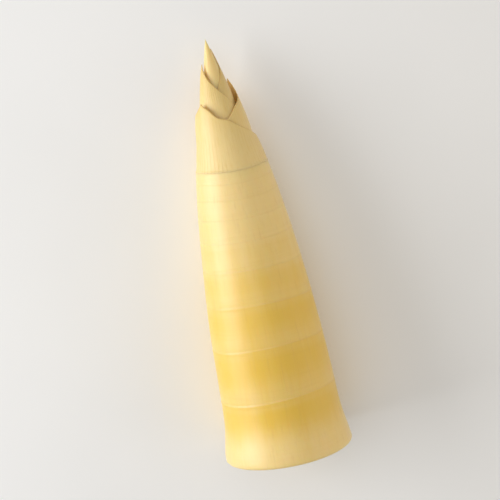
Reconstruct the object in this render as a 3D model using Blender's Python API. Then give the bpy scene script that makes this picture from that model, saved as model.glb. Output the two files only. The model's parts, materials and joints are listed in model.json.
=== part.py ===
"""Peeled, boiled bamboo shoot, lying on its side with its tip along +Y.

The stem is one solid that tapers from a flat cut base to a point. Rings mark its nodes, which crowd
together towards the tip. From the last nodes grow thin, tender sheaths: each wraps all the way round
the stem, laps over itself and ends in a point, and the points stand on alternate sides. Metres, +Z up,
with the origin on the surface it lies on, under the middle of its length.
"""

import math

import bmesh
import bpy
import numpy as np
from mathutils import Matrix, Vector

# Stem
LENGTH = 0.145  # cut base to tip, along the stem
BODY_RADIUS = 0.0204
TAPER_POWER = 0.75
FLARE = 0.0019  # how much wider the stem gets at its cut base
FLARE_LENGTH = 0.009
FLARE_STATIONS = (0.004, 0.008, 0.013)  # extra rings that shape the widening
BASE_CHAMFER = 0.0005
OVALITY = 0.012  # share by which it is wider than it is high
BOW = 0.0010  # how far the tip leans sideways
STEM_SIDES = 48

# Nodes
FIRST_NODE = 0.022
FIRST_INTERNODE = 0.018
INTERNODE_RATIO = 0.82  # each internode's length against the one below it
SCAR_HEIGHT = 0.00022  # the ring that stands out where a sheath was peeled off
SCAR_WIDTH = 0.0016
LONG_INTERNODE = 0.008  # above this an internode gets a ring at its middle

# Tender sheaths, from the lowest to the innermost
BARE_NODES = 8
SHEATH_TOPS = (0.124, 0.131, 0.137, 0.1415)
FIRST_SHEATH_SIDE = math.radians(-48)  # where the lowest one's point stands, from straight up to +X
NEXT_SHEATH_TURN = math.radians(172)
SHEATH_LAP = math.radians(35)  # how far each margin runs past the back of the stem
LAP_CLIMB = 0.5  # turn, in radians, over which the outer margin climbs onto the inner one
SHEATH_TAPER = 0.85
SHEATH_COLLAR = 0.12  # share of a sheath's length that is left at its margins
SHEATH_AT_NODE = 0.00090  # thickness at the lowest node that keeps its sheath
SHEATH_AT_TIP = 0.00040
EDGE_THINNING = 0.4  # share of its thickness that a sheath has lost at its upper edge
SHEATH_COLUMNS = 36
SHEATH_ROWS = 7
SPEAR_POWER = 1.6  # fullness of the rolled spear that ends the stem
SPEAR_STATIONS = 10
GAP = 0.0003

# Underside
PRESSED = 0.0005  # depth to which the soft flesh is flattened where it lies
TILT_STATIONS = 80  # places at which the stem is tried against the surface it lies on
CUTTER_DEPTH = 0.01

# Finishes, colours in linear values
FLESH_COLOUR = (0.83, 0.61, 0.22)
FLESH_ROUGHNESS = 0.38
SHEATH_COLOUR = (0.87, 0.70, 0.34)
SHEATH_ROUGHNESS = 0.34

WELD = 0.00001  # points closer than this are one
SHARP_ANGLE = math.radians(35)

SHEATHS = len(SHEATH_TOPS)


def node_places() -> list:
    """Distances of all nodes from the cut base, the lowest first."""
    places = [FIRST_NODE]
    step = FIRST_INTERNODE
    while len(places) < BARE_NODES + SHEATHS:
        places.append(places[-1] + step)
        step *= INTERNODE_RATIO
    return places


NODES = node_places()


def envelope(s: float) -> float:
    """Radius over everything, at a distance s from the cut base."""
    taper = BODY_RADIUS * (1 - (s / LENGTH) ** 2) ** TAPER_POWER
    return taper + FLARE * math.exp(-((s / FLARE_LENGTH) ** 2))


def sheath_thickness(s: float) -> float:
    """Greatest thickness of a sheath at s."""
    share = (s - NODES[BARE_NODES]) / (LENGTH - NODES[BARE_NODES])
    return SHEATH_AT_NODE + (SHEATH_AT_TIP - SHEATH_AT_NODE) * share


def surface_radius(s: float, layers: int) -> float:
    """Radius of the surface that has this many sheaths wrapped over it, at s."""
    layer = sheath_thickness(s) + GAP
    last = NODES[-1]
    if s <= last:
        return envelope(s) - layers * layer
    core = envelope(last) - SHEATHS * (sheath_thickness(last) + GAP)
    spear = core * (1 - ((s - last) / (LENGTH - last)) ** SPEAR_POWER)
    return spear + (SHEATHS - layers) * layer


def on_stem(s: float, turn: float, radius: float) -> Vector:
    """Point on the stem standing upright: turn goes from the side that will face up towards +X."""
    bow = BOW * (s / LENGTH) ** 2
    return Vector(
        (
            radius * math.sin(turn) * (1 + OVALITY / 2) - bow,
            -radius * math.cos(turn) * (1 - OVALITY / 2),
            s,
        )
    )


def make_material(name: str, colour: tuple, roughness: float) -> bpy.types.Material:
    """Plain opaque finish, with the colour in linear values."""
    material = bpy.data.materials.new(name)
    material.use_nodes = True
    shader = material.node_tree.nodes["Principled BSDF"]
    shader.inputs["Base Color"].default_value = (*colour, 1)
    shader.inputs["Roughness"].default_value = roughness
    shader.inputs["Metallic"].default_value = 0
    return material


def finish_object(name: str, mesh_data: bmesh.types.BMesh, material: bpy.types.Material) -> bpy.types.Object:
    """Closed body with its faces out, shaded smooth except across sharp edges."""
    bmesh.ops.remove_doubles(mesh_data, verts=mesh_data.verts, dist=WELD)
    bmesh.ops.recalc_face_normals(mesh_data, faces=mesh_data.faces)
    mesh = bpy.data.meshes.new(name)
    mesh_data.to_mesh(mesh)
    mesh_data.free()
    mesh.shade_smooth()
    mesh.set_sharp_from_angle(angle=SHARP_ANGLE)
    mesh.materials.append(material)
    obj = bpy.data.objects.new(name, mesh)
    bpy.context.collection.objects.link(obj)
    return obj


def stem_profile() -> list:
    """Pairs of distance from the cut base and radius, from the base's edge to the tip."""
    rim = envelope(0)
    profile = [(0, rim - BASE_CHAMFER), (BASE_CHAMFER, rim)]
    profile += [(s, envelope(s)) for s in FLARE_STATIONS]
    for lower, upper in zip(NODES, NODES[1:BARE_NODES + 1]):
        half = SCAR_WIDTH / 2
        profile.append((lower - half, envelope(lower - half)))
        profile.append((lower, envelope(lower) + SCAR_HEIGHT))
        profile.append((lower + half, envelope(lower + half)))
        middle = (lower + upper) / 2
        if upper - lower > LONG_INTERNODE:
            profile.append((middle, envelope(middle)))
    for layers, node in enumerate(NODES[BARE_NODES:]):
        profile.append((node, surface_radius(node, layers)))
        profile.append((node, surface_radius(node, layers + 1)))
    for s in np.linspace(NODES[-1], LENGTH, SPEAR_STATIONS)[1:]:
        profile.append((float(s), surface_radius(float(s), SHEATHS)))
    return profile


def build_stem(material: bpy.types.Material) -> bpy.types.Object:
    """The solid stem: its profile spun about its axis, with the cut base closed."""
    mesh_data = bmesh.new()
    verts = [mesh_data.verts.new((0, radius, s)) for s, radius in stem_profile()]
    edges = [mesh_data.edges.new(pair) for pair in zip(verts, verts[1:])]
    bmesh.ops.spin(
        mesh_data,
        geom=verts + edges,
        cent=(0, 0, 0),
        axis=(0, 0, 1),
        angle=2 * math.pi,
        steps=STEM_SIDES,
        use_merge=True,
    )
    bmesh.ops.remove_doubles(mesh_data, verts=mesh_data.verts, dist=WELD)
    rim = [edge for edge in mesh_data.edges if edge.is_boundary]
    bmesh.ops.contextual_create(mesh_data, geom=rim)
    for vert in mesh_data.verts:
        radius = math.hypot(vert.co.x, vert.co.y)
        vert.co = on_stem(vert.co.z, math.atan2(vert.co.x, -vert.co.y), radius)
    return finish_object("stem", mesh_data, material)


def sheath_point(index: int, turn: float, rise: float, outside: bool) -> Vector:
    """Point on a sheath: turn goes round from its midline and rise from its foot to its upper edge."""
    reach = math.pi + SHEATH_LAP
    foot = NODES[BARE_NODES + index] + GAP
    edge = 1 - (abs(turn) / reach) ** SHEATH_TAPER
    top = foot + (SHEATH_TOPS[index] - foot) * (SHEATH_COLLAR + (1 - SHEATH_COLLAR) * edge)
    s = foot + (top - foot) * rise
    full = sheath_thickness(s)
    margin = (full - GAP) / 2
    thickness = full + (margin - full) * (turn / reach) ** 2
    thickness *= 1 - EDGE_THINNING * rise**2
    lap_start = math.pi - SHEATH_LAP
    lift = np.clip((turn - lap_start + LAP_CLIMB) / LAP_CLIMB, 0, 1)
    radius = surface_radius(s, index + 1) + GAP + lift * (margin + GAP)
    if outside:
        radius += min(thickness, full - lift * (margin + GAP))
    side = FIRST_SHEATH_SIDE + index * NEXT_SHEATH_TURN
    return on_stem(s, side + turn, radius)


def build_sheath(index: int, material: bpy.types.Material) -> bpy.types.Object:
    """One wrapped sheath: an outer and an inner skin joined along the foot, the margins and the edge."""
    reach = math.pi + SHEATH_LAP
    turns = np.linspace(-reach, reach, SHEATH_COLUMNS + 1)
    rises = np.linspace(0, 1, SHEATH_ROWS + 1)
    mesh_data = bmesh.new()
    skins = [
        [[mesh_data.verts.new(sheath_point(index, t, r, outside)) for r in rises] for t in turns]
        for outside in (True, False)
    ]
    for skin in skins:
        for left, right in zip(skin, skin[1:]):
            for row in range(SHEATH_ROWS):
                mesh_data.faces.new((left[row], right[row], right[row + 1], left[row + 1]))
    boundary = [edge for edge in mesh_data.edges if edge.is_boundary]
    bmesh.ops.bridge_loops(mesh_data, edges=boundary)
    return finish_object(f"tip_sheath_{index + 1}", mesh_data, material)


def lying_tilt() -> float:
    """Angle by which the tip end drops until the stem rests on its base's edge and on its body."""
    stations = np.linspace(FIRST_NODE, NODES[BARE_NODES], TILT_STATIONS)
    return math.atan(min((envelope(0) - envelope(s)) / s for s in stations))


def lay_down(pieces: list) -> None:
    """Turns the upright shoot on its side, centres it and sinks it by the depth it is pressed flat."""
    axis = bpy.data.objects.new("stem_axis", None)
    bpy.context.collection.objects.link(axis)
    turned = Matrix.Rotation(-math.pi / 2 - lying_tilt(), 4, "X")
    points = [turned @ vert.co for piece in pieces for vert in piece.data.vertices]
    low = Vector([min(point[i] for point in points) for i in range(3)])
    high = Vector([max(point[i] for point in points) for i in range(3)])
    middle = (low + high) / 2
    axis.rotation_euler = turned.to_euler()
    axis.location = (-middle.x, -middle.y, -low.z - PRESSED)
    for piece in pieces:
        piece.parent = axis


def flatten_underside(stem: bpy.types.Object) -> None:
    """Cuts the stem off level with the surface it lies on."""
    bpy.ops.mesh.primitive_cube_add(size=1, location=(0, 0, -CUTTER_DEPTH / 2))
    cutter = bpy.context.object
    cutter.name = "surface_cutter"
    cutter.scale = (LENGTH, 2 * LENGTH, CUTTER_DEPTH)
    bpy.ops.object.transform_apply(location=False, rotation=False, scale=True)
    cutter.hide_render = True
    cutter.display_type = "WIRE"
    cut = stem.modifiers.new("flat_underside", "BOOLEAN")
    cut.operation = "DIFFERENCE"
    cut.object = cutter


def main() -> None:
    """Builds the shoot from its stem outwards and lays it down."""
    for obj in list(bpy.data.objects):
        bpy.data.objects.remove(obj)
    flesh = make_material("boiled_flesh", FLESH_COLOUR, FLESH_ROUGHNESS)
    tender = make_material("tender_sheath", SHEATH_COLOUR, SHEATH_ROUGHNESS)
    stem = build_stem(flesh)
    sheaths = [build_sheath(index, tender) for index in range(SHEATHS)]
    lay_down([stem, *sheaths])
    flatten_underside(stem)


main()
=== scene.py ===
"""Looks of a peeled, boiled bamboo shoot that lies on its side.

The stem is spun from its profile and then shaped by the way a shoot grows: rings at its nodes, soft
swellings between them and a slight bow. The tender sheaths at its tip are sheets wrapped round it.
Growth holds the sizes that all pieces share, the finishes hold the colours and textures, and the
pieces are built from the stem outwards.
"""

import json
import logging
import math
from collections.abc import Sequence
from dataclasses import dataclass, field
from enum import Enum
from typing import Any

import bpy
import numpy as np
from mathutils import Matrix, Vector


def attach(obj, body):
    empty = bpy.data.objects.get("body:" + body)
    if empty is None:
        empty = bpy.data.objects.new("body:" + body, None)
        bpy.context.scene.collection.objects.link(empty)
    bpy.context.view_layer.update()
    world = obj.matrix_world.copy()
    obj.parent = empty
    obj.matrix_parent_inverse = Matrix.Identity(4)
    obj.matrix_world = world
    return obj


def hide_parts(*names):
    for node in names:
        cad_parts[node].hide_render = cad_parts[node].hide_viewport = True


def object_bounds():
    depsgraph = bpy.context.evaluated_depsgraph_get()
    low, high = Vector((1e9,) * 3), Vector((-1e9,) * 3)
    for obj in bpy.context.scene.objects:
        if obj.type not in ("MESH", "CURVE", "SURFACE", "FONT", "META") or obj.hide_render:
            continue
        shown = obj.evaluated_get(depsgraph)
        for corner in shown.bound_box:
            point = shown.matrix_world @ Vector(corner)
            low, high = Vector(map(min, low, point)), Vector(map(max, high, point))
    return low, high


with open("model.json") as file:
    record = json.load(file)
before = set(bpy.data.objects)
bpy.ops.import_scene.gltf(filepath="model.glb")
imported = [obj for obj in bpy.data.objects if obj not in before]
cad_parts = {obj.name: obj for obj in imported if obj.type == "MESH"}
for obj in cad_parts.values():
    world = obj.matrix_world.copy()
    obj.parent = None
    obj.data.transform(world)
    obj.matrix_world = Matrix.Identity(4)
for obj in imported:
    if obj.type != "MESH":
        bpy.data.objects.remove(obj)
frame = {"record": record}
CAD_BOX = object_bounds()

LOG = logging.getLogger("bamboo_shoot")
MM = 0.001


class Slot(Enum):
    """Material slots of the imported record."""

    FLESH = "boiled_flesh"
    SHEATH = "tender_sheath"


class Attribute(Enum):
    """Values stored at each point of a piece for its finish to read."""

    YELLOWING = "yellowing"
    # Darker line at each ring: partly the scar's own tan, partly painted shade at the ring's edge.
    SCAR = "scar_and_shade"
    EDGE = "edge"


# ---------------------------------------------------------------- growth


def bell(offset: np.ndarray, width: float | np.ndarray) -> np.ndarray:
    """1 where the offset is 0, falling smoothly to nearly 0 at twice the width."""
    return np.exp(-((offset / width) ** 2))


def ease(share: np.ndarray) -> np.ndarray:
    """0 below 0 and 1 above 1, with a smooth rise between."""
    held = np.clip(share, 0, 1)
    return held**2 * (3 - 2 * held)


@dataclass(frozen=True)
class Ripple:
    """Soft, repeatable unevenness over the turn round the stem and the distance along it."""

    seed: int
    waves: int
    most_turns: int
    wavelength: float

    def __call__(self, turn: np.ndarray, along: np.ndarray) -> np.ndarray:
        """Unevenness at each point, mostly between -1 and 1.

        Args:
            turn: Angle round the stem, in radians.
            along: Distance from the cut base, in metres.

        Returns:
            One value for each point.
        """
        draw = np.random.default_rng(self.seed)
        total = np.zeros_like(turn)
        for _ in range(self.waves):
            turns = draw.integers(0, self.most_turns + 1)
            pace = draw.uniform(-1, 1) * 2 * math.pi / self.wavelength
            total += np.cos(turns * turn + pace * along + draw.uniform(0, 2 * math.pi))
        return total / math.sqrt(self.waves)


@dataclass(frozen=True)
class Growth:
    """Sizes of the shoot, in metres along its axis from the cut base, and the shape that they give.

    Attributes:
        length: Cut base to tip.
        body_radius: Radius that the taper starts from.
        taper_power: Fullness of the taper.
        flare: How much wider the stem gets at its cut base.
        flare_length: How far that widening reaches.
        ovality: Share by which the stem is wider than it is high.
        bow: How far the tip leans sideways.
        first_node: Place of the lowest ring.
        first_internode: Distance from it to the next ring.
        internode_ratio: Each internode's length against the one below it.
        bare_nodes: Rings whose sheaths are peeled off.
        sheath_tops: Where the sheaths' points end, the lowest sheath first.
        sheath_at_node: Sheath thickness at the lowest node that keeps its sheath.
        sheath_at_tip: Sheath thickness at the tip.
        spear_power: Fullness of the rolled spear that ends the stem.
        gap: Room between one sheath and the next.
        lumps: Unevenness of the radius.
        lump_share: Its size against the radius.
        sway: Unevenness of the rings' places along the stem.
        sway_reach: Its size.
        calm_rim: How near the cut base the lumps are weaker.
        calm_share: How weak they are at the cut base.
        calm_base: How near the cut base the rings sway less.
        calm_tip: How near the tip they sway less.
    """

    length: float = 0.145
    body_radius: float = 0.0204
    taper_power: float = 0.75
    flare: float = 0.0019
    flare_length: float = 0.009
    ovality: float = 0.012
    bow: float = 0.0010
    first_node: float = 0.022
    first_internode: float = 0.018
    internode_ratio: float = 0.82
    bare_nodes: int = 8
    sheath_tops: tuple[float, ...] = (0.124, 0.131, 0.137, 0.1415)
    sheath_at_node: float = 0.00090
    sheath_at_tip: float = 0.00040
    spear_power: float = 1.6
    gap: float = 0.0003
    lumps: Ripple = Ripple(seed=11, waves=7, most_turns=3, wavelength=0.040)
    lump_share: float = 0.005
    sway: Ripple = Ripple(seed=5, waves=5, most_turns=2, wavelength=0.060)
    sway_reach: float = 0.0006
    calm_rim: float = 0.003
    calm_share: float = 0.3
    calm_base: float = 0.008
    calm_tip: float = 0.020

    @property
    def nodes(self) -> np.ndarray:
        """Distances of all rings from the cut base."""
        internodes = np.arange(self.bare_nodes + len(self.sheath_tops) - 1)
        steps = self.first_internode * self.internode_ratio**internodes
        return self.first_node + np.concatenate(([0.0], np.cumsum(steps)))

    @property
    def cut_base(self) -> dict[str, Any]:
        """The record's mount on the cut base, which gives the stem's place and direction."""
        return next(mount for mount in frame["record"]["mounts"] if mount["name"] == "cut_base")

    def envelope(self, along: np.ndarray) -> np.ndarray:
        """Radius over everything."""
        share = np.clip(along / self.length, 0, 1)
        taper = self.body_radius * (1 - share**2) ** self.taper_power
        return taper + self.flare * np.exp(-((along / self.flare_length) ** 2))

    def sheath_thickness(self, along: np.ndarray) -> np.ndarray:
        """Greatest thickness of a sheath."""
        foot = self.nodes[self.bare_nodes]
        share = (along - foot) / (self.length - foot)
        return self.sheath_at_node + (self.sheath_at_tip - self.sheath_at_node) * share

    def surface(self, along: np.ndarray, layers: int | np.ndarray) -> np.ndarray:
        """Radius of the surface that has this many sheaths wrapped over it."""
        sheaths = len(self.sheath_tops)
        last = self.nodes[-1]
        layer = self.sheath_thickness(along) + self.gap
        below = self.envelope(along) - layers * layer
        core = self.envelope(last) - sheaths * (self.sheath_thickness(last) + self.gap)
        share = np.clip((along - last) / (self.length - last), 0, 1)
        above = core * (1 - share**self.spear_power) + (sheaths - layers) * layer
        return np.where(along <= last, below, above)

    def place(self, along: np.ndarray, turn: np.ndarray, radius: np.ndarray) -> np.ndarray:
        """Points in the row's frame, with the shoot's natural unevenness.

        Args:
            along: Distance from the cut base.
            turn: Angle round the stem, from straight up towards +X.
            radius: Distance from the axis.

        Returns:
            An array of one row of x, y and z for each point.
        """
        free = np.clip(along / self.calm_base, 0, 1) * np.clip((self.length - along) / self.calm_tip, 0, 1)
        swayed = along + self.sway_reach * free * self.sway(turn, along)
        calm = np.clip(along / self.calm_rim, self.calm_share, 1)
        lumpy = radius * (1 + self.lump_share * self.lumps(turn, along) * calm)
        sideways = lumpy * np.sin(turn) * (1 + self.ovality / 2) - self.bow * (along / self.length) ** 2
        upwards = lumpy * np.cos(turn) * (1 - self.ovality / 2)
        axis = -np.array(self.cut_base["axis"]) / np.linalg.norm(self.cut_base["axis"])
        across = np.array([1.0, 0.0, 0.0])
        up = np.cross(across, axis)
        points = (
            np.array(self.cut_base["pos_m"])
            + np.outer(swayed, axis)
            + np.outer(sideways, across)
            + np.outer(upwards, up)
        )
        points[:, 2] = np.maximum(points[:, 2], 0.0)
        return points


GROWTH = Growth()


# ---------------------------------------------------------------- shader maths


class Value:
    """A number in a material, for Python arithmetic that adds its Math nodes."""

    def __init__(self, recipe: "Recipe", socket: bpy.types.NodeSocket) -> None:
        """Keeps the recipe that new nodes go to and the socket that gives the number."""
        self.recipe = recipe
        self.socket = socket

    def math(self, operation: str, *others: "Value | float", swapped: bool = False) -> "Value":
        """A Math node on this number.

        Args:
            operation: The Math node's operation.
            others: The other numbers.
            swapped: Whether this number comes second.

        Returns:
            The node's result.
        """
        given = [*others, self] if swapped else [self, *others]
        node = self.recipe.node("ShaderNodeMath", {"operation": operation}, dict(enumerate(given)))
        return Value(self.recipe, node.outputs[0])

    def __add__(self, other: "Value | float") -> "Value":
        """Sum."""
        return self.math("ADD", other)

    def __radd__(self, other: float) -> "Value":
        """Sum, with the number first."""
        return self.math("ADD", other)

    def __sub__(self, other: "Value | float") -> "Value":
        """Difference."""
        return self.math("SUBTRACT", other)

    def __rsub__(self, other: float) -> "Value":
        """Difference, with the number first."""
        return self.math("SUBTRACT", other, swapped=True)

    def __mul__(self, other: "Value | float") -> "Value":
        """Product."""
        return self.math("MULTIPLY", other)

    def __rmul__(self, other: float) -> "Value":
        """Product, with the number first."""
        return self.math("MULTIPLY", other)

    def over(self, low: float, high: float) -> "Value":
        """0 up to low and 1 from high on, with a smooth rise between; high may be the lower one."""
        settings = {"interpolation_type": "SMOOTHSTEP"}
        inputs = {"Value": self, "From Min": low, "From Max": high}
        node = self.recipe.node("ShaderNodeMapRange", settings, inputs)
        return Value(self.recipe, node.outputs["Result"])


Colour = tuple[float, float, float]


def linear(red: int, green: int, blue: int) -> Colour:
    """A colour on screen, each part from 0 to 255, as the linear values that shaders take."""
    parts = [c / 255 for c in (red, green, blue)]
    return tuple(p / 12.92 if p <= 0.04045 else ((p + 0.055) / 1.055) ** 2.4 for p in parts)


class Recipe:
    """A material while its nodes are put together."""

    def __init__(self, name: str) -> None:
        """Makes an empty node material with its Principled shader."""
        self.material = bpy.data.materials.new(name)
        self.material.use_nodes = True
        self.tree = self.material.node_tree
        self.shader = self.tree.nodes["Principled BSDF"]

    def node(self, kind: str, settings: dict[str, Any], inputs: dict[str | int, Any]) -> bpy.types.Node:
        """Adds a node.

        Args:
            kind: The node's type.
            settings: Its properties, set first.
            inputs: Values or links of its sockets, by name or number.

        Returns:
            The node.
        """
        node = self.tree.nodes.new(kind)
        for name, setting in settings.items():
            setattr(node, name, setting)
        for name, given in inputs.items():
            self.feed(node.inputs[name], given)
        return node

    def feed(self, socket: bpy.types.NodeSocket, given: Any) -> None:
        """Links a value or socket to an input, or sets the input to a number or colour."""
        if isinstance(given, Value):
            given = given.socket
        if isinstance(given, bpy.types.NodeSocket):
            self.tree.links.new(given, socket)
        elif isinstance(given, tuple) and len(given) == 3 and socket.type == "RGBA":
            socket.default_value = (*given, 1)
        else:
            socket.default_value = given

    def mix(self, factor: Value, first: Any, second: Any) -> bpy.types.NodeSocket:
        """Mixes two colours by a number from 0 to 1."""
        node = self.node("ShaderNodeMix", {"data_type": "RGBA"}, {0: factor, 6: first, 7: second})
        return node.outputs[2]

    def attribute(self, which: Attribute) -> Value:
        """A value stored at the piece's points."""
        node = self.node("ShaderNodeAttribute", {"attribute_name": which.value}, {})
        return Value(self, node.outputs["Fac"])

    def grain(self, stretch: Sequence[float], detail: float = 2.0, warp: float = 0.0) -> Value:
        """Noise in the piece's own coordinates.

        Args:
            stretch: Features per metre sideways, along the shoot and upwards.
            detail: How many finer steps it holds.
            warp: How much its features wander.

        Returns:
            A number about 0.5.
        """
        place = self.node("ShaderNodeTexCoord", {}, {}).outputs["Object"]
        level = (math.asin(GROWTH.cut_base["axis"][2]), 0, 0)
        turned = self.node("ShaderNodeMapping", {}, {"Vector": place, "Rotation": level}).outputs["Vector"]
        scaled = self.node("ShaderNodeVectorMath", {"operation": "MULTIPLY"}, {0: turned, 1: tuple(stretch)})
        inputs = {"Vector": scaled.outputs[0], "Scale": 1.0, "Detail": detail, "Distortion": warp}
        return Value(self, self.node("ShaderNodeTexNoise", {}, inputs).outputs["Fac"])

    def bump(
        self, height: Value, depth: float, under: bpy.types.NodeSocket | None = None
    ) -> bpy.types.NodeSocket:
        """Relief in the shading.

        Args:
            height: The relief, from 0 to 1.
            depth: Its depth in metres.
            under: Normal that it adds to.

        Returns:
            The new normal.
        """
        inputs: dict[str | int, Any] = {"Height": height, "Distance": depth, "Strength": 1.0}
        if under is not None:
            inputs["Normal"] = under
        return self.node("ShaderNodeBump", {}, inputs).outputs["Normal"]

    def finish(self, **inputs: Any) -> bpy.types.Material:
        """Feeds the shader's sockets, named with _ for a space, and returns the material."""
        for name, given in inputs.items():
            self.feed(self.shader.inputs[name.replace("_", " ")], given)
        return self.material


# ---------------------------------------------------------------- finishes


@dataclass(frozen=True)
class FleshFinish:
    """Moist boiled flesh: pale cream that turns yellow below each ring, with fine fibres.

    Attributes:
        cream: Colour where it is palest.
        yellow: Colour where it is yellowest.
        tan: Colour of the thin line at a ring, partly the scar's own tint and partly painted shade at the
            ring's edge.
    """

    cream: Colour = linear(243, 214, 143)
    yellow: Colour = linear(235, 194, 68)
    tan: Colour = linear(205, 160, 92)

    def make(self) -> bpy.types.Material:
        """Builds the material."""
        recipe = Recipe("boiled_flesh")
        cloud = recipe.grain((70, 45, 70), detail=3)
        rings = recipe.grain((25, 900, 25), detail=2, warp=1.2)
        fibres = recipe.grain((1500, 40, 1500), detail=2)
        speck = recipe.grain((900, 900, 900), detail=1)
        streak = recipe.grain((260, 22, 260), detail=3, warp=0.8)
        patches = (cloud - 0.5) * 0.45 + (rings - 0.5) * 0.08 + (streak - 0.5) * 0.34
        yellowing = recipe.attribute(Attribute.YELLOWING) + patches
        body = recipe.mix(yellowing.over(-0.05, 1.05), self.cream, self.yellow)
        fibrous = recipe.mix(fibres.over(0.52, 0.85) * 0.16, body, self.tan)
        ringed = recipe.mix(rings.over(0.55, 0.80) * 0.05, fibrous, self.tan)
        # Painted shade, in part: the thin line at each ring turns tan, partly as scar tint and partly as
        # shade painted at the ring's edge.
        scarred_and_shaded = recipe.mix(recipe.attribute(Attribute.SCAR) * (0.55 + cloud * 0.3), ringed, self.tan)
        soft = recipe.bump(rings, 0.00004)
        fine = recipe.bump(fibres * 0.7 + speck * 0.3, 0.00005, soft)
        return recipe.finish(
            Base_Color=scarred_and_shaded,
            Roughness=0.34 + cloud * 0.14 + fibres * 0.06,
            Coat_Weight=cloud.over(0.35, 0.70) * 0.35 + 0.35,
            Coat_Roughness=0.36,
            Normal=fine,
            Subsurface_Weight=0.35,
            Subsurface_Radius=(1.0, 0.62, 0.22),
            Subsurface_Scale=0.0035,
        )


@dataclass(frozen=True)
class CutFinish:
    """The knife-cut base: pale flesh with darker strands that end in dots, closer towards the rim.

    Attributes:
        flesh: Colour towards the rim.
        pith: Colour of the middle.
        strand: Colour of the strands' ends and of the rim's thin line.
    """

    flesh: Colour = linear(244, 216, 152)
    pith: Colour = linear(250, 226, 166)
    strand: Colour = linear(214, 168, 84)

    def make(self) -> bpy.types.Material:
        """Builds the material."""
        recipe = Recipe("cut_flesh")
        place = recipe.node("ShaderNodeTexCoord", {}, {}).outputs["Object"]
        cells = recipe.node(
            "ShaderNodeTexVoronoi", {"feature": "F1"}, {"Vector": place, "Scale": 760.0, "Randomness": 1.0}
        )
        near = Value(recipe, cells.outputs["Distance"])
        rim = recipe.attribute(Attribute.EDGE)
        dots = near.over(0.36, 0.10) * rim.over(0.15, 0.80)
        cloud = recipe.grain((160, 160, 160), detail=3)
        marks = recipe.grain((60, 60, 1400), detail=1)
        body = recipe.mix((rim + (cloud - 0.5) * 0.3).over(0.1, 0.6), self.pith, self.flesh)
        dotted = recipe.mix(dots * (0.25 + cloud * 0.5), body, self.strand)
        edged = recipe.mix(rim.over(0.90, 1.0) * 0.45, dotted, self.strand)
        relief = recipe.bump(marks * 0.6 + dots * 0.4, 0.00010)
        return recipe.finish(
            Base_Color=edged,
            Roughness=0.34 + cloud * 0.16,
            Coat_Weight=0.2,
            Coat_Roughness=0.2,
            Normal=relief,
            Subsurface_Weight=0.35,
            Subsurface_Radius=(1.0, 0.62, 0.25),
            Subsurface_Scale=0.003,
        )


@dataclass(frozen=True)
class SheathFinish:
    """Thin tender sheath: ivory with fine veins, and a darker, drier edge.

    Attributes:
        ivory: Colour where it is palest.
        vein: Colour of the veins, and of the sheath where it is yellowest.
        rim: Colour of its edge.
        veins: How many veins there are from margin to margin.
    """

    ivory: Colour = linear(245, 214, 146)
    vein: Colour = linear(231, 187, 98)
    rim: Colour = linear(222, 176, 108)
    veins: int = 64

    def make(self) -> bpy.types.Material:
        """Builds the material."""
        recipe = Recipe("tender_sheath")
        cloud = recipe.grain((90, 40, 90), detail=3)
        fibres = recipe.grain((1300, 30, 1300), detail=2)
        sheet = recipe.node("ShaderNodeUVMap", {}, {}).outputs[0]
        across = recipe.node("ShaderNodeSeparateXYZ", {}, {0: sheet})
        turns = Value(recipe, across.outputs[0]) * (2 * math.pi * self.veins)
        lines = (turns + cloud * 5).math("SINE") * 0.5 + 0.5
        ridge = lines.over(0.60, 1.0) * cloud.over(0.35, 0.65)
        edge = recipe.attribute(Attribute.EDGE)
        yellowing = recipe.attribute(Attribute.YELLOWING)
        body = recipe.mix((yellowing + (cloud - 0.5) * 0.3).over(0.0, 1.0), self.ivory, self.vein)
        veined = recipe.mix(ridge * 0.30 + fibres.over(0.50, 0.80) * 0.30, body, self.vein)
        rimmed = recipe.mix(edge.over(0.55, 1.0) * 0.55, veined, self.rim)
        relief = recipe.bump(ridge * 0.6 + fibres * 0.4, 0.00009)
        return recipe.finish(
            Base_Color=rimmed,
            Roughness=0.40 + cloud * 0.16,
            Coat_Weight=cloud.over(0.35, 0.7) * 0.30 + 0.25,
            Coat_Roughness=0.38,
            Normal=relief,
            Subsurface_Weight=0.25,
            Subsurface_Radius=(1.0, 0.70, 0.35),
            Subsurface_Scale=0.0018,
        )


@dataclass(frozen=True)
class FloorFinish:
    """Plain pale table top with a barely uneven sheen."""

    white: Colour = (0.96, 0.96, 0.955)
    shade: Colour = (0.93, 0.93, 0.925)

    def make(self) -> bpy.types.Material:
        """Builds the material."""
        recipe = Recipe("pale_floor")
        cloud = recipe.grain((9, 9, 9), detail=3)
        return recipe.finish(
            Base_Color=recipe.mix(cloud.over(0.3, 0.7), self.white, self.shade),
            Roughness=0.55 + cloud * 0.1,
        )


# ---------------------------------------------------------------- modelling helpers


def deselect() -> None:
    """Leaves nothing selected and no object active."""
    bpy.ops.object.select_all(action="DESELECT")
    bpy.context.view_layer.objects.active = None


def points_of(obj: bpy.types.Object) -> np.ndarray:
    """Places of all points of a mesh, one row each."""
    flat = np.empty(len(obj.data.vertices) * 3)
    obj.data.vertices.foreach_get("co", flat)
    return flat.reshape(-1, 3)


def move_points(obj: bpy.types.Object, places: np.ndarray) -> None:
    """Puts all points of a mesh at new places."""
    obj.data.vertices.foreach_set("co", places.ravel())
    obj.data.update()


def store(obj: bpy.types.Object, which: Attribute, values: np.ndarray) -> None:
    """Keeps a value at each point for the finish."""
    layer = obj.data.attributes.new(which.value, "FLOAT", "POINT")
    layer.data.foreach_set("value", np.asarray(values, dtype=float))


def face_out(obj: bpy.types.Object) -> None:
    """Turns all faces of a closed mesh outwards."""
    bpy.context.view_layer.objects.active = obj
    bpy.ops.object.mode_set(mode="EDIT")
    bpy.ops.mesh.select_all(action="SELECT")
    bpy.ops.mesh.normals_make_consistent(inside=False)
    bpy.ops.object.mode_set(mode="OBJECT")


# ---------------------------------------------------------------- stem


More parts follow.
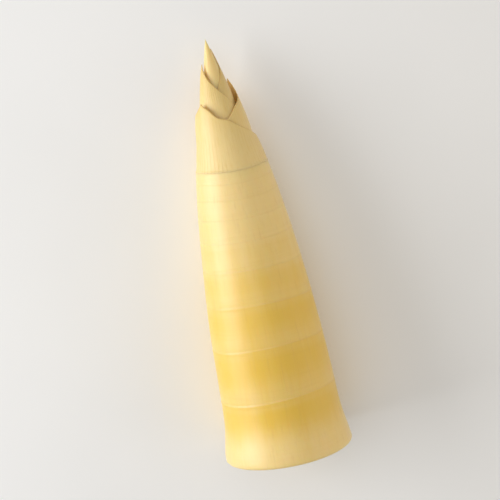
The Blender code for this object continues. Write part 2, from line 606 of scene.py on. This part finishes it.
@dataclass(frozen=True)
class RingShape:
    """What is left at a node where a sheath was peeled off, above the node unless said otherwise.

    Attributes:
        height: How far its edge stands out.
        full_internode: Internode from which on a ring has its full size.
        size_power: How fast shorter internodes get smaller rings.
        edge_above: Width of the edge's steep side.
        edge_below: Width of its soft side, below the node.
        unevenness: Share by which the edge's height varies round the stem.
        groove_place: Where the groove above the edge is.
        groove_width: Its width.
        groove_depth: Its depth against the height.
        swelling_place: Where the swelling is, as a share of the internode.
        swelling_share: The part of its width that goes with the internode.
        swelling_width: The part of its width that doesn't.
        swelling_height: Its height against the edge's.
        line_full: Internode from which on the ring's lines have their full strength.
        line_place: Where the thin darker line is.
        line_width: Its width.
        line_strength: Its strength.
        faint_width: Width of the fainter line on the swelling.
        faint_strength: Its strength.
    """

    height: float = 0.10 * MM
    full_internode: float = 9 * MM
    size_power: float = 0.6
    edge_above: float = 0.22 * MM
    edge_below: float = 0.75 * MM
    unevenness: float = 0.30
    groove_place: float = 0.65 * MM
    groove_width: float = 0.40 * MM
    groove_depth: float = 0.45
    swelling_place: float = 0.22
    swelling_share: float = 0.10
    swelling_width: float = 0.3 * MM
    swelling_height: float = 0.5
    line_full: float = 14 * MM
    # line_place: Where the thin darker line is, partly scar tint and partly painted shade.
    line_place: float = 0.15 * MM
    line_width: float = 0.22 * MM
    line_strength: float = 0.26
    faint_width: float = 0.30 * MM
    faint_strength: float = 0.10

    def relief(self, above: np.ndarray, internode: float, vary: np.ndarray) -> np.ndarray:
        """Height of the ring, from the distances above its node."""
        size = min(1.0, internode / self.full_internode) ** self.size_power
        edge = bell(above, np.where(above < 0, self.edge_below, self.edge_above))
        edge *= 1 - self.unevenness / 2 + self.unevenness * vary
        groove = bell(above - self.groove_place, self.groove_width)
        width = self.swelling_share * internode + self.swelling_width
        swelling = bell(above - self.swelling_place * internode, width)
        return self.height * size * (edge - self.groove_depth * groove + self.swelling_height * swelling)

    def lines(self, above: np.ndarray, internode: float) -> np.ndarray:
        """Strength of the ring's darker lines, partly scar tint and partly painted shade, from the distances
        above its node.
        """
        thin = self.line_strength * bell(above - self.line_place, self.line_width)
        faint = self.faint_strength * bell(above - self.swelling_place * internode, self.faint_width)
        return min(1.0, internode / self.line_full) * (thin + faint)


@dataclass(frozen=True)
class BandShape:
    """How the flesh yellows from one node to the next, in shares of the internode.

    Attributes:
        lowest: Distance from the cut base at which the lowest band starts.
        rise_start: Where it starts to turn yellow.
        rise_length: Over how much it turns yellow.
        fall_end: Where it would be pale again.
        fall_length: Over how much it turns pale.
        fall_least: How yellow it still is at the node.
        patchiness: How much the bands vary round the stem.
        patch_range: Weakest and strongest patch.
        floor_stops: Yellowness that is always there, at millimetres from the cut base.
        band_stops: Strength of the bands, at millimetres from the cut base.
    """

    lowest: float = 4 * MM
    rise_start: float = 0.10
    rise_length: float = 0.62
    fall_end: float = 1.02
    fall_length: float = 0.22
    fall_least: float = 0.55
    patchiness: float = 0.26
    patch_range: tuple[float, float] = (0.4, 1.4)
    floor_stops: tuple[tuple[float, float], ...] = (
        (0, 0.04), (10, 0.36), (25, 0.56), (42, 0.62), (60, 0.54), (72, 0.28), (90, 0.14), (112, 0.04),
    )
    band_stops: tuple[tuple[float, float], ...] = (
        (0, 0.0), (8, 0.5), (18, 1.0), (35, 0.9), (51, 0.75), (64, 0.30), (77, 0.12), (88, 0.0),
    )

    def strength(self, share: np.ndarray) -> np.ndarray:
        """Yellowness of a band, from 0 to 1."""
        rise = ease((share - self.rise_start) / self.rise_length)
        return rise * np.clip((self.fall_end - share) / self.fall_length, self.fall_least, 1)


@dataclass
class Stem:
    """The solid stem, from its cut base to the rolled spear at its tip.

    Attributes:
        sides: Points round each ring of the mesh.
        cut_rings: Mesh rings from the middle of the cut base to its rim.
        rim_round: Radius of the cut edge.
        rim_rings: Mesh rings round that edge.
        coarse: Spacing of mesh rings between nodes.
        fine: Spacing of mesh rings close to a node.
        near: How close that is.
        spear: Spacing of mesh rings between the sheaths' feet and on the spear.
        knife: Depth of the knife's marks in the cut base.
        sunken: Depth to which the middle of the cut base is sunken.
        sunken_radius: How far from the middle that reaches.
        ring: Shape of a ring.
        band: Shape of the yellow bands.
    """

    sides: int = 144
    cut_rings: int = 30
    rim_round: float = 1.1 * MM
    rim_rings: int = 6
    coarse: float = 1.0 * MM
    fine: float = 0.22 * MM
    near: float = 1.6 * MM
    spear: float = 0.6 * MM
    knife: float = 0.05 * MM
    sunken: float = 0.5 * MM
    sunken_radius: float = 19 * MM
    ring: RingShape = RingShape()
    band: BandShape = BandShape()

    def stations(self) -> list[tuple[float, float]]:
        """Points of the half profile, as distance from the cut base and radius."""
        growth = GROWTH
        rim = float(growth.envelope(np.array(0.0)))
        profile = [(0.0, radius) for radius in np.linspace(0, rim - self.rim_round, self.cut_rings)]
        for angle in np.linspace(0, math.pi / 2, self.rim_rings)[1:]:
            out = self.rim_round * math.sin(angle)
            profile.append((self.rim_round * (1 - math.cos(angle)), rim - self.rim_round + out))
        nodes = growth.nodes
        bare, sheathed = nodes[: growth.bare_nodes], nodes[growth.bare_nodes :]
        along = 2 * self.rim_round
        while along < sheathed[0] - self.fine:
            profile.append((along, float(growth.envelope(along))))
            close = np.min(np.abs(bare - along)) < self.near
            along += self.fine if close else self.coarse
        for layers, node in enumerate(sheathed):
            profile.append((node, float(growth.surface(node, layers))))
            profile.append((node, float(growth.surface(node, layers + 1))))
            upper = sheathed[layers + 1] if layers + 1 < len(sheathed) else growth.length
            steps = max(2, int((upper - node) / self.spear))
            for along in np.linspace(node, upper, steps + 1)[1:-1]:
                profile.append((float(along), float(growth.surface(along, layers + 1))))
        profile.append((growth.length, 0.0))
        return profile

    def spin_profile(self) -> bpy.types.Object:
        """Draws the half profile point by point and spins it round the stem's axis."""
        profile = self.stations()
        bpy.ops.mesh.primitive_plane_add(size=0.001)
        stem = bpy.context.object
        bpy.ops.object.mode_set(mode="EDIT")
        bpy.ops.mesh.merge(type="CENTER")
        for (along, radius), (next_along, next_radius) in zip(profile, profile[1:]):
            step = (next_radius - radius, 0, next_along - along)
            bpy.ops.mesh.extrude_vertices_move(TRANSFORM_OT_translate={"value": step})
        bpy.ops.mesh.select_all(action="SELECT")
        bpy.ops.mesh.spin(steps=self.sides, angle=2 * math.pi, center=(0, 0, 0), axis=(0, 0, 1))
        bpy.ops.mesh.select_all(action="SELECT")
        bpy.ops.mesh.remove_doubles(threshold=0.000002)
        bpy.ops.object.mode_set(mode="OBJECT")
        return stem

    def ring_relief(self, along: np.ndarray, turn: np.ndarray) -> np.ndarray:
        """Height of the rings: an edge where each sheath was peeled off, and a soft swelling above it."""
        vary = Ripple(seed=23, waves=5, most_turns=4, wavelength=0.03)(turn, along)
        bare = zip(GROWTH.nodes[: GROWTH.bare_nodes], np.diff(GROWTH.nodes))
        return sum(self.ring.relief(along - node, internode, vary) for node, internode in bare)

    def yellowing(self, along: np.ndarray, turn: np.ndarray) -> np.ndarray:
        """How yellow the flesh is: palest just above a ring and yellowest a little below the next one."""
        floor = np.interp(along / MM, *zip(*self.band.floor_stops))
        strength = np.interp(along / MM, *zip(*self.band.band_stops))
        nodes = np.concatenate(([self.band.lowest], GROWTH.nodes))
        bands = np.zeros_like(along)
        for lower, upper in zip(nodes, nodes[1:]):
            share = (along - lower) / (upper - lower)
            bands = np.where((share >= 0) & (share < 1), self.band.strength(share), bands)
        vary = Ripple(seed=31, waves=6, most_turns=3, wavelength=0.05)(turn, along)
        patchy = np.clip(1 + self.band.patchiness * vary, *self.band.patch_range)
        return floor + (1 - floor) * strength * bands * patchy

    def scar_tint_and_shade(self, along: np.ndarray) -> np.ndarray:
        """Thin darker line at each ring, partly scar tint and partly painted shade at the ring's edge, with
        a fainter one on the swelling above.
        """
        bare = zip(GROWTH.nodes[: GROWTH.bare_nodes], np.diff(GROWTH.nodes))
        return np.clip(sum(self.ring.lines(along - node, internode) for node, internode in bare), 0, 1)

    def cut_depth(self, turn: np.ndarray, radius: np.ndarray) -> np.ndarray:
        """How deep the cut base is: slightly sunken in the middle, with soft marks of the knife."""
        inner = np.clip(1 - radius / self.sunken_radius, 0, 1)
        marks = Ripple(seed=3, waves=6, most_turns=5, wavelength=0.02)(turn, radius * 2)
        return self.knife * marks * np.clip(inner * 6, 0, 1) + self.sunken * inner**2

    def build(self) -> bpy.types.Object:
        """Models the stem and gives it its finishes.

        Returns:
            The finished piece.
        """
        deselect()
        stem = self.spin_profile()
        stem.name = stem.data.name = "peeled_stem"
        face_out(stem)
        x, y, along = points_of(stem).T
        radius, turn = np.hypot(x, y), np.arctan2(x, -y)
        on_cut = along < 0.001 * MM
        relief = np.where(on_cut, 0, self.ring_relief(along, turn))
        depth = np.where(on_cut, self.cut_depth(turn, radius), along)
        move_points(stem, GROWTH.place(depth, turn, radius + relief))
        rim = float(GROWTH.envelope(np.array(0.0)))
        store(stem, Attribute.YELLOWING, np.where(on_cut, 0, self.yellowing(along, turn)))
        # The ring lines stored here are partly scar tint and partly painted shade at each ring's edge.
        store(stem, Attribute.SCAR, np.where(on_cut, 0, self.scar_tint_and_shade(along)))
        store(stem, Attribute.EDGE, np.where(on_cut, radius / rim, 1.0))
        stem.data.materials.append(FleshFinish().make())
        stem.data.materials.append(CutFinish().make())
        for face in stem.data.polygons:
            face.material_index = int(all(on_cut[index] for index in face.vertices))
        stem.data.shade_smooth()
        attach(stem, "root")
        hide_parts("stem")
        return stem


# ---------------------------------------------------------------- sheaths


@dataclass
class TipSheath:
    """One tender sheath: a sheet wrapped round the stem, lapping over itself and ending in a point.

    Attributes:
        index: 0 for the lowest sheath.
        first_side: Where the lowest one's point stands, from straight up towards +X.
        next_turn: Turn from one sheath's point to the next.
        lap: How far each margin runs past the back of the stem.
        taper: Shape of the upper edge; lower is more sharply pointed.
        collar: Share of the sheath's length that is left at its margins.
        columns: Faces of the sheet round the stem.
        rows: Faces of the sheet along the stem.
        crowding: How much closer the rows are at the foot.
        tear: Share of its length by which the upper edge is uneven.
        whole_point: Half of the point's width, where the edge is even.
        edge_thinning: Share of its thickness that it has lost at its upper edge.
        root: How far up from the foot it fills the room up to its neighbour.
        lap_climb: Turn over which the outer margin climbs onto the inner one.
        clearance: Room that is left under it.
        lip: How far its foot stands out from the node.
        lip_reach: How far the foot runs onto the node.
        lip_under: The foot's height against that where it lies under the other margin.
        skin: Room between the node and the foot's inner skin.
        veins: Half the number of veins round the stem.
        vein_drift: How far they are off even spacing, as a turn of their wave.
        drift_waves: How often that changes round the stem.
        vein_start: Place between the foot and the upper edge from which they have their full height.
        vein_height: How far the veins stand out.
        edge_reach: How far in from the edge it is dry.
        margin_length: Length along a margin that its distance from the edge is measured by.
        pale: How yellow it is at its foot.
        yellower: How much yellower it gets towards its point.
        yellow_reach: Distance from the foot at which it is yellowest.
    """

    index: int
    first_side: float = math.radians(-48)
    next_turn: float = math.radians(172)
    lap: float = math.radians(35)
    taper: float = 0.85
    collar: float = 0.12
    columns: int = 160
    rows: int = 48
    crowding: float = 1.5
    tear: float = 0.022
    whole_point: float = 0.12
    edge_thinning: float = 0.55
    root: float = 0.8 * MM
    lap_climb: float = 0.5
    clearance: float = 0.08 * MM
    lip: float = 0.08 * MM
    lip_reach: float = 0.30 * MM
    lip_under: float = 0.3
    skin: float = 0.01 * MM
    veins: int = 26
    vein_drift: float = 2.0
    drift_waves: int = 3
    vein_start: float = 0.25
    vein_height: float = 0.015 * MM
    edge_reach: float = 0.55 * MM
    margin_length: float = 60 * MM
    pale: float = 0.20
    yellower: float = 0.35
    yellow_reach: float = 25 * MM

    def build(self) -> bpy.types.Object:
        """Models the sheath and gives it its finish.

        Returns:
            The finished piece.
        """
        deselect()
        bpy.ops.mesh.primitive_grid_add(x_subdivisions=self.columns, y_subdivisions=self.rows, size=2)
        sheath = bpy.context.object
        sheath.name = sheath.data.name = f"tender_sheath_{self.index + 1}"
        across, up, _ = points_of(sheath).T
        turn, rise = across * (math.pi + self.lap), ((up + 1) / 2) ** self.crowding
        foot = GROWTH.nodes[GROWTH.bare_nodes + self.index]
        edge = 1 - np.abs(across) ** self.taper
        length = (GROWTH.sheath_tops[self.index] - foot) * (self.collar + (1 - self.collar) * edge)
        ragged = Ripple(seed=40 + self.index, waves=9, most_turns=9, wavelength=0.01)
        uneven = ragged(turn, np.zeros_like(turn))
        torn = length * (1 + self.tear * uneven * (1 - bell(across, self.whole_point)))
        along = foot - self.lip_reach + (torn + self.lip_reach) * rise
        side = self.first_side + self.index * self.next_turn
        skins = [GROWTH.place(along, side + turn, radius) for radius in self.radii(along, across, rise)]
        move_points(sheath, skins[0])
        edge_distance = np.minimum((1 - rise) * length, (1 - np.abs(across)) * self.margin_length)
        store(sheath, Attribute.EDGE, np.exp(-edge_distance / self.edge_reach))
        ripe = rise * np.clip((along - foot) / self.yellow_reach, 0, 1)
        store(sheath, Attribute.YELLOWING, self.pale + self.yellower * ripe)
        self.thicken(sheath, skins)
        face_out(sheath)
        sheath.data.materials.append(SheathFinish().make())
        sheath.data.shade_smooth()
        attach(sheath, "root")
        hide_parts(f"tip_sheath_{self.index + 1}")
        return sheath

    def radii(
        self, along: np.ndarray, across: np.ndarray, rise: np.ndarray
    ) -> tuple[np.ndarray, np.ndarray]:
        """Radii of the inner and the outer skin.

        Args:
            along: Distance from the cut base.
            across: Place between the margins, from -1 to 1.
            rise: Place between the foot and the upper edge, from 0 to 1.

        Returns:
            The inner and the outer radius of each point.
        """
        turn = across * (math.pi + self.lap)
        foot = GROWTH.nodes[GROWTH.bare_nodes + self.index]
        full = GROWTH.sheath_thickness(along)
        margin = (full - GROWTH.gap) / 2
        lift = ease((turn - (math.pi - self.lap) + self.lap_climb) / self.lap_climb) * (margin + GROWTH.gap)
        thickness = (full + (margin - full) * across**2) * (1 - self.edge_thinning * rise**2)
        most = full + GROWTH.gap - self.clearance
        thickness += (most - thickness) * np.exp(-np.maximum(along - foot, 0) / self.root)
        thickness = np.minimum(thickness, most - lift)
        drift = self.vein_drift * np.sin(turn * self.drift_waves)
        vein = np.sin(turn * self.veins + drift) ** 2 * np.clip(rise / self.vein_start, 0, 1)
        vein *= self.vein_height
        lip = self.lip * bell(along - foot, self.lip_reach)
        lip *= np.where(turn < self.lap - math.pi, self.lip_under, 1)
        on_node = along < foot
        inner = GROWTH.surface(along, self.index + 1) + self.clearance + lift
        inner = np.where(on_node, GROWTH.surface(along, self.index) + self.skin, inner)
        return inner, np.where(on_node, inner, inner + thickness + vein) + lip

    def thicken(self, sheath: bpy.types.Object, skins: Sequence[np.ndarray]) -> None:
        """Gives the sheet a second skin, closes the edge between the two and puts each in its place.

        Args:
            sheath: The sheet, with its points at the inner skin.
            skins: Places of the inner and the outer skin.
        """
        solidify = sheath.modifiers.new("thickness", "SOLIDIFY")
        solidify.thickness = GROWTH.gap
        bpy.context.view_layer.objects.active = sheath
        bpy.ops.object.modifier_apply(modifier=solidify.name)
        move_points(sheath, np.concatenate(skins))


# ---------------------------------------------------------------- studio


@dataclass(frozen=True)
class Lamp:
    """A soft square light that faces the shoot: its place, size, power and colour."""

    name: str
    place: tuple[float, float, float]
    size: float
    power: float
    colour: Colour = (1.0, 1.0, 1.0)


@dataclass
class Studio:
    """Pale floor, soft light from the left and a camera that looks down on the shoot.

    Attributes:
        lamps: The lights.
        surroundings: Strength of the even light from all round.
        floor_size: Length of the floor's sides.
        distance: Camera to the shoot.
        lean: How far the camera stands off straight above, towards the tip.
        roll: How far the tip leans left in the picture.
        height: Height of the picture at the shoot.
        sensor: Width of the camera's sensor, in millimetres.
        aim: Where the camera and the lights point.
    """

    lamps: tuple[Lamp, ...] = (
        Lamp("key", (-0.66, 0.12, 0.24), 0.55, 4.4),
        Lamp("fill", (0.60, -0.10, 0.30), 0.60, 1.0, (1.0, 0.80, 0.50)),
        Lamp("top", (-0.15, 0.30, 0.80), 0.70, 1.1),
    )
    surroundings: float = 0.40
    floor_size: float = 6.0
    distance: float = 0.45
    lean: float = math.radians(12)
    roll: float = math.radians(11)
    height: float = 0.172
    sensor: float = 36.0
    aim: Vector = field(default_factory=lambda: Vector((0, 0, 0.016)))

    def build(self) -> None:
        """Adds the floor, the lights, the surroundings and the camera."""
        self.add_floor()
        for lamp in self.lamps:
            self.add_light(lamp)
        world = bpy.data.worlds.new("surroundings")
        world.use_nodes = True
        background = world.node_tree.nodes["Background"]
        background.inputs["Color"].default_value = (1, 1, 1, 1)
        background.inputs["Strength"].default_value = self.surroundings
        bpy.context.scene.world = world
        bpy.context.scene.view_settings.view_transform = "Standard"
        self.add_camera()

    def add_floor(self) -> None:
        """Adds the floor, level with the lowest point of the shoot."""
        deselect()
        bpy.ops.mesh.primitive_plane_add(size=self.floor_size, location=(0, 0, CAD_BOX[0][2]))
        floor = bpy.context.object
        floor.name = "floor"
        floor.data.materials.append(FloorFinish().make())

    def add_light(self, lamp: Lamp) -> None:
        """Adds a light."""
        light = bpy.data.lights.new(lamp.name, "AREA")
        light.shape = "SQUARE"
        light.size = lamp.size
        light.energy = lamp.power
        light.color = lamp.colour
        source = bpy.data.objects.new(lamp.name, light)
        bpy.context.collection.objects.link(source)
        source.location = lamp.place
        source.rotation_euler = (self.aim - source.location).to_track_quat("-Z", "Y").to_euler()

    def add_camera(self) -> None:
        """Adds the camera, with the tip at the top of the picture."""
        lens = bpy.data.cameras.new("camera")
        lens.sensor_width = self.sensor
        lens.lens = self.sensor * self.distance / self.height
        camera = bpy.data.objects.new("camera", lens)
        bpy.context.collection.objects.link(camera)
        back = Vector((0, math.sin(self.lean), math.cos(self.lean)))
        top = Vector((math.sin(self.roll), math.cos(self.roll), 0))
        right = top.cross(back).normalized()
        top = back.cross(right).normalized()
        turned = Matrix((right, top, back)).transposed()
        camera.location = self.aim + back * self.distance
        camera.rotation_euler = turned.to_euler()
        bpy.context.scene.camera = camera


def main() -> None:
    """Builds the studio and the shoot."""
    logging.basicConfig(level=logging.INFO, format="%(message)s")
    Studio().build()
    pieces = [Stem().build()]
    pieces += [TipSheath(index).build() for index in range(len(GROWTH.sheath_tops))]
    for piece in pieces:
        LOG.info("%s: %d points, %d faces", piece.name, len(piece.data.vertices), len(piece.data.polygons))


if __name__ == "__main__":
    main()
